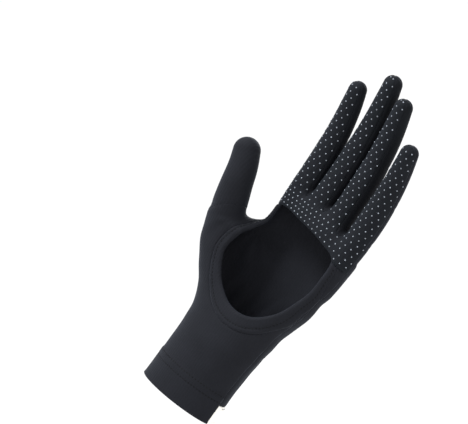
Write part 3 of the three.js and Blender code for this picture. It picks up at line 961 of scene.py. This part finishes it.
def finger_dots(surface, row_step, column_step):
    """Dots on the fingers: the same staggered rows, bent round each finger and up to its tip."""
    found = []
    for row in range(int(100 / row_step)):
        for path in FINGER_PATHS:
            tracks = [np.array([p[k] for p in path]).reshape(len(path), -1) for k in range(4)]
            length = np.linalg.norm(np.diff(tracks[0], axis=0), axis=1)
            length = np.concatenate([[0], np.cumsum(length)])
            reach = FINGERS_FROM + row * row_step - tracks[0][0, 2]
            if reach > length[-1] + 5:
                continue
            centre, head, pad, radius = (
                np.array([np.interp(reach, length, v) for v in track.T]) for track in tracks
            )
            head /= np.linalg.norm(head)
            centre = centre + head * max(reach - length[-1], 0)
            side = np.cross(head, pad)
            offset = tracks[0][0, 0] / column_step
            for column in range(-12, 13):
                angle = (column + 0.5 * (row % 2) + round(offset) - offset) * column_step / radius[0]
                if abs(angle) > math.radians(OUTER_SEAM):
                    continue
                out = pad * math.cos(angle) + side * math.sin(angle)
                hit = surface.hit(centre + out * (radius[0] + 5), -out, 9.0)
                if hit and hit[1] @ out > 0.15:
                    found.append(hit)
    return found


def grip_dots(surface, row_step, column_step):
    """Points and normals of the grip dots that don't stand on a seam."""
    found = palm_dots(surface, row_step, column_step) + finger_dots(surface, row_step, column_step)
    kept = [f for f in found if surface.from_border(f[0]) >= DOT_MARGIN]
    return np.array([f[0] for f in kept]), np.array([f[1] for f in kept])


def stitch_run(surface, path, step, lift=0.02):
    """Places of stitches step mm apart along a path laid on a surface."""
    path = np.asarray(path, float)
    length = np.concatenate([[0], np.cumsum(np.linalg.norm(np.diff(path, axis=0), axis=1))])
    at = np.arange(step / 2, length[-1], step)
    line = np.stack([np.interp(at, length, path[:, k]) for k in range(3)], 1)
    points, normals, alongs = [], [], []
    for i, p in enumerate(line):
        found = surface.nearest(p, 3.0)
        if found is None:
            continue
        run = line[min(i + 1, len(line) - 1)] - line[max(i - 1, 0)]
        run /= np.linalg.norm(run)
        points.append(found[0] + found[1] * lift)
        normals.append(found[1])
        alongs.append(run)
    return np.array(points), np.array(normals), np.array(alongs)


def ray_line(surface, starts, toward, reach=80.0):
    """The points where rays meet the surface, in order, without those that miss."""
    hits = [surface.hit(s, toward, reach) for s in starts]
    return np.array([h[0] for h in hits if h is not None])


def ring_line(surface, z, from_deg, to_deg, steps=120):
    """A level line round the body at height z, between two angles."""
    s = body_at(np.array([z]))
    points = []
    for angle in np.radians(np.linspace(from_deg, to_deg, steps)):
        way = np.array([math.cos(angle), math.sin(angle), 0.0])
        start = np.array([s["x"][0], s["y"][0], z]) + way * 80
        found = surface.hit(start, -way, 80)
        if found is not None:
            points.append(found[0])
    return np.array(points)


# Add-on


def length(name, description, mm):
    """A size that a user may change, given here in mm and kept in metres."""
    kind = {"min": 0.0001, "precision": 5, "subtype": "DISTANCE", "unit": "LENGTH"}
    return bpy.props.FloatProperty(name=name, description=description, default=mm / 1000, **kind)


def colour(name, description, hex_value):
    """A colour that a user may change."""
    kind = {"size": 4, "min": 0, "max": 1, "subtype": "COLOR"}
    return bpy.props.FloatVectorProperty(
        name=name, description=description, default=linear(hex_value), **kind
    )


class GloveCloth(bpy.types.PropertyGroup):
    """The cloth."""

    wall: length("Cloth", "Thickness of the knit", 1.1)
    doubled: length("Double cloth", "How far facing and band stand proud", 0.5)
    dark: colour("Dark knit", "The black cloth where it is lightest", "#18191E")
    darker: colour("Dark knit, deep", "The black cloth where it is darkest", "#111216")
    # The grip cloth is a darker copy of the dark knit: painted shade, so the key lamp that lights the thumb
    # leaves the finger pads dim.
    grip: colour("Grip cloth", "The cloth under the dots where it is lightest", "#14171B")
    # The strips' near-black is painted shade: the shade that falls between the fingers, on cloth that is
    # the same dark knit.
    strip: colour("Strips", "The strips between the fingers", "#0C0E12")
    cream: colour("Band", "The pale band at the hem", "#E9E6E0")
    cream_deep: colour("Band, deep", "The pale band where it is darkest", "#DAD6CE")


class GloveDots(bpy.types.PropertyGroup):
    """The grip dots."""

    width: length("Dot width", "Across one dot", 0.85)
    height: length("Dot height", "Through one dot; half of it stands out of the cloth", 0.6)
    row_step: length("Between rows", "From one row of dots to the next, along a finger", 3.6)
    column_step: length("Between columns", "From one dot to the next, across a finger", 4.7)
    # The dots' grey is painted highlight: clear silicone over black cloth shows as light specks only where
    # it catches the light.
    clear: colour("Dots", "The dots against the black cloth", "#80858D")


class GloveStitches(bpy.types.PropertyGroup):
    """The visible stitching."""

    pitch: length("Stitch pitch", "From one stitch to the next", 2.2)
    thread: length("Thread", "Thickness of the thread", 0.56)
    # The dark thread's near-black is partly its own colour and partly painted shade of the stitch pits.
    dark: colour("Dark thread", "Thread of hem, facing and gathers", "#060708")
    black: colour("Black thread", "Thread of the band", "#1B1C1F")


WORK = {}


def glove_mesh():
    """The split surface, made once and shared by the operators."""
    if "mesh" not in WORK:
        WORK["mesh"] = cut_glove()
        WORK["shapes"] = {}
    return WORK["mesh"]


def knit_of(context, finish):
    """One of the glove's knits, made once."""
    cloth = context.scene.glove_cloth
    if finish not in WORK:
        if finish == "pale_band":
            matt = {"bump": 0.1, "rough": 0.85}
            WORK[finish] = knit("warp_knit_cream", cloth.cream_deep, cloth.cream, 0.15, **matt)
        elif finish == "dotted_knit":
            # The dotted knit mottles between the grip colour and the strips' painted shade; being darker
            # than the other panels' knit is painted shade.
            WORK[finish] = knit("warp_knit_dotted_painted_shade", cloth.strip, cloth.grip, 0.06)
        elif finish == "strip":
            # The strips' knit is one near-black colour: painted shade between the fingers.
            WORK[finish] = knit("warp_knit_strip", cloth.strip, cloth.strip, 0.04)
        else:
            WORK[finish] = knit("warp_knit_" + finish, cloth.darker, cloth.dark, 0.07)
    return WORK[finish]


def make_panel(context, index, finish=None, **options):
    """One cloth panel with its material, riding on the glove."""
    name, slot = PANELS[index]
    wall = context.scene.glove_cloth.wall * 1000
    obj, shape = finish_panel(glove_mesh(), index, thickness=wall, **options)
    obj.data.materials.append(knit_of(context, finish or slot))
    WORK["shapes"][name] = shape
    declare(obj, name, slot)
    return obj


class GLOVE_OT_back(bpy.types.Operator):
    """Back of the hand with the backs of the fingers and the gathers at the wrist"""

    bl_idname = "glove.back"
    bl_label = "Back panel"

    def execute(self, context):
        make_panel(context, 6)
        return {"FINISHED"}


class GLOVE_OT_palm(bpy.types.Operator):
    """Heel of the palm, ball of the thumb and front of the cuff with its turned hem"""

    bl_idname = "glove.palm"
    bl_label = "Palm panel"

    def execute(self, context):
        make_panel(context, 7)
        return {"FINISHED"}


class GLOVE_OT_grip(bpy.types.Operator):
    """Palm side of the fingers"""

    bl_idname = "glove.grip"
    bl_label = "Grip panel"

    def execute(self, context):
        make_panel(context, 4, open_edge=0.3)
        return {"FINISHED"}


class GLOVE_OT_thumb(bpy.types.Operator):
    """The thumb's own tube of cloth"""

    bl_idname = "glove.thumb"
    bl_label = "Thumb"

    def execute(self, context):
        make_panel(context, 3)
        return {"FINISHED"}


class GLOVE_OT_fourchettes(bpy.types.Operator):
    """The three plain strips between the fingers, in a near-black knit that is painted shade"""

    bl_idname = "glove.fourchettes"
    bl_label = "Strips between the fingers"

    def execute(self, context):
        for index in (8, 9, 10):
            make_panel(context, index, finish="strip")
        return {"FINISHED"}


class GLOVE_OT_facing(bpy.types.Operator):
    """The wide strip sewn round the palm opening"""

    bl_idname = "glove.facing"
    bl_label = "Facing of the palm opening"

    def execute(self, context):
        make_panel(context, 5, raised=context.scene.glove_cloth.doubled * 1000, open_edge=0.4)
        return {"FINISHED"}


class GLOVE_OT_band(bpy.types.Operator):
    """The pale band on the back half of the hem"""

    bl_idname = "glove.band"
    bl_label = "Cuff band"

    def execute(self, context):
        make_panel(context, 2, raised=context.scene.glove_cloth.doubled * 1000)
        return {"FINISHED"}


class GLOVE_OT_dots(bpy.types.Operator):
    """Small clear rubbery dots printed on the grip panel"""

    bl_idname = "glove.dots"
    bl_label = "Grip dots"

    def execute(self, context):
        dots = context.scene.glove_dots
        surface = Surface(WORK["shapes"]["grip_panel"])
        points, normals = grip_dots(surface, dots.row_step * 1000, dots.column_step * 1000)
        # Printed clear silicone: smooth domes. Their grey, lighter on some dots and darker on others by the
        # wide spread, is painted highlight of domes that catch the light some more and some less.
        silicone = plain("clear_silicone_painted_highlight", dots.clear, 0.3, grain=5.0, spread=0.85, IOR=1.42)
        along = np.tile([0.0, 0.0, 1.0], (len(points), 1))
        size = (dots.width, dots.width, dots.height)
        obj = copies_on("grip_dots", points, normals, along, "dome", size, silicone)
        declare(obj, "grip_panel", "dotted_knit")
        return {"FINISHED"}


class GLOVE_OT_stitches(bpy.types.Operator):
    """Stitching of hem, facing, band and gathers"""

    bl_idname = "glove.stitches"
    bl_label = "Stitches"

    def execute(self, context):
        look = context.scene.glove_stitches
        # Spun polyester thread, matt. It lies in the grooves and is darker than the cloth: partly the
        # thread's own black, partly painted shade of the stitch pits.
        dark = plain("polyester_thread_dark_painted_shade", look.dark, 0.7, Specular_IOR_Level=0.12)
        black = plain("polyester_thread_black", look.black, 0.7, Specular_IOR_Level=0.2)
        palm, facing, back, band = (
            Surface(WORK["shapes"][k]) for k in ("palm_panel", "opening_facing", "back_panel", "cuff_band")
        )
        ring = opening_outline(0, FACING_STITCH)
        order = np.roll(ring, -int(np.argmax(ring[:, 1])), 0)
        starts = [np.array([p[0], -60.0, p[1]]) for p in order]
        runs = [
            ("hem_stitches", palm, [ring_line(palm, z, 182, 358) for z in HEM_ROWS], dark),
            ("facing_stitches", facing, [ray_line(facing, starts, (0, 1, 0))], dark),
            ("gather_stitches", back, [ring_line(back, z, 8, 172) for z in GATHER_ROWS], dark),
            ("band_stitches", band, [ring_line(band, BAND_HEIGHT - BAND_ROW_DROP, 4, 176)], black),
        ]
        owner = {
            "hem_stitches": ("palm_panel", "dark_knit"),
            "facing_stitches": ("opening_facing", "dark_facing"),
            "gather_stitches": ("back_panel", "dark_knit"),
            "band_stitches": ("cuff_band", "pale_band"),
        }
        size = (look.pitch * 0.6, look.thread, look.thread * 0.7)
        for name, surface, lines, thread in runs:
            parts = [stitch_run(surface, line, look.pitch * 1000) for line in lines if len(line) > 2]
            if not parts:
                raise RuntimeError("No line was found for " + name)
            points, normals, alongs = (np.concatenate([p[k] for p in parts]) for k in range(3))
            obj = copies_on(name, points, normals, alongs, "stitch", size, thread)
            declare(obj, *owner[name])
        return {"FINISHED"}


class GLOVE_OT_stage(bpy.types.Operator):
    """Floor, lights and camera"""

    bl_idname = "glove.stage"
    bl_label = "Stage"

    def execute(self, context):
        scene = context.scene
        # Matt background paper: even white without a shine.
        paper = bpy.data.materials.new("matt_white_paper")
        paper.use_nodes = True
        shader = paper.node_tree.nodes["Principled BSDF"]
        shader.inputs["Base Color"].default_value = linear("#F6F6F6")
        shader.inputs["Roughness"].default_value = 0.9
        side, low = FLOOR
        corners = np.array([[-side, -side, low], [side, -side, low], [side, side, low], [-side, side, low]])
        floor = mesh_object("floor", corners, [np.array([[0, 1, 2, 3]])], smooth=False)
        floor.data.materials.append(paper)
        world = bpy.data.worlds.new("studio")
        scene.world = world
        world.use_nodes = True
        sky = world.node_tree.nodes["Background"]
        sky.inputs["Color"].default_value = (1, 1, 1, 1)
        sky.inputs["Strength"].default_value = 1.12
        scene.view_settings.view_transform = "Standard"
        aim = Vector((0.0, 0.0, 0.12))
        for name, at, power, size, tint in LAMPS:
            light = bpy.data.lights.new(name, "AREA")
            light.energy = power
            light.size = size
            light.color = tint
            lamp = bpy.data.objects.new(name, light)
            lamp.location = at
            lamp.rotation_euler = (aim - Vector(at)).to_track_quat("-Z", "Y").to_euler()
            scene.collection.objects.link(lamp)
        set_camera(scene)
        return {"FINISHED"}


def set_camera(scene):
    """The photograph's view: from the little finger's side, a little above, and rolled."""
    turn, rise = math.radians(VIEW["azimuth"]), math.radians(VIEW["rise"])
    right = Vector((math.cos(turn), math.sin(turn), 0))
    up = Vector((-math.sin(rise) * math.sin(turn), math.sin(rise) * math.cos(turn), math.cos(rise)))
    back = right.cross(up)
    lean = math.radians(VIEW["lean"])
    image_right = right * math.cos(lean) + up * math.sin(lean)
    image_up = up * math.cos(lean) - right * math.sin(lean)
    wide = VIEW["pixels"] * VIEW["mm_per_pixel"] / 1000
    centre = (right * VIEW["centre"][0] + up * VIEW["centre"][1] + back * VIEW["plane"]) / 1000
    camera = bpy.data.cameras.new("camera")
    camera.lens = VIEW["lens"]
    camera.sensor_width = VIEW["sensor"]
    camera.clip_end = 1000
    obj = bpy.data.objects.new("camera", camera)
    away = wide * camera.lens / VIEW["sensor"]
    turned = Matrix((image_right, image_up, back)).transposed().to_4x4()
    obj.matrix_world = Matrix.Translation(centre + back * away) @ turned
    scene.collection.objects.link(obj)
    scene.camera = obj


STEPS = ("back", "palm", "grip", "thumb", "fourchettes", "facing", "band", "dots", "stitches", "stage")


class GLOVE_PT_panel(bpy.types.Panel):
    """The glove's pieces in the order that they are made"""

    bl_label = "Sun protection glove"
    bl_space_type = "VIEW_3D"
    bl_region_type = "UI"
    bl_category = "Glove"

    def draw(self, context):
        for group in (context.scene.glove_cloth, context.scene.glove_dots, context.scene.glove_stitches):
            box = self.layout.box()
            for key in group.__annotations__:
                box.prop(group, key)
        for step in STEPS:
            self.layout.operator("glove." + step)


CLASSES = (
    GloveCloth,
    GloveDots,
    GloveStitches,
    GLOVE_OT_back,
    GLOVE_OT_palm,
    GLOVE_OT_grip,
    GLOVE_OT_thumb,
    GLOVE_OT_fourchettes,
    GLOVE_OT_facing,
    GLOVE_OT_band,
    GLOVE_OT_dots,
    GLOVE_OT_stitches,
    GLOVE_OT_stage,
    GLOVE_PT_panel,
)


def register():
    """Makes the glove's settings and operators known."""
    for item in CLASSES:
        bpy.utils.register_class(item)
    bpy.types.Scene.glove_cloth = bpy.props.PointerProperty(type=GloveCloth)
    bpy.types.Scene.glove_dots = bpy.props.PointerProperty(type=GloveDots)
    bpy.types.Scene.glove_stitches = bpy.props.PointerProperty(type=GloveStitches)


def unregister():
    """Takes them away again."""
    del bpy.types.Scene.glove_stitches
    del bpy.types.Scene.glove_dots
    del bpy.types.Scene.glove_cloth
    for item in reversed(CLASSES):
        bpy.utils.unregister_class(item)


def main():
    """Builds the glove and its stage."""
    register()
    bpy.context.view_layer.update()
    for step in STEPS:
        getattr(bpy.ops.glove, step)()


if __name__ == "__main__":
    main()
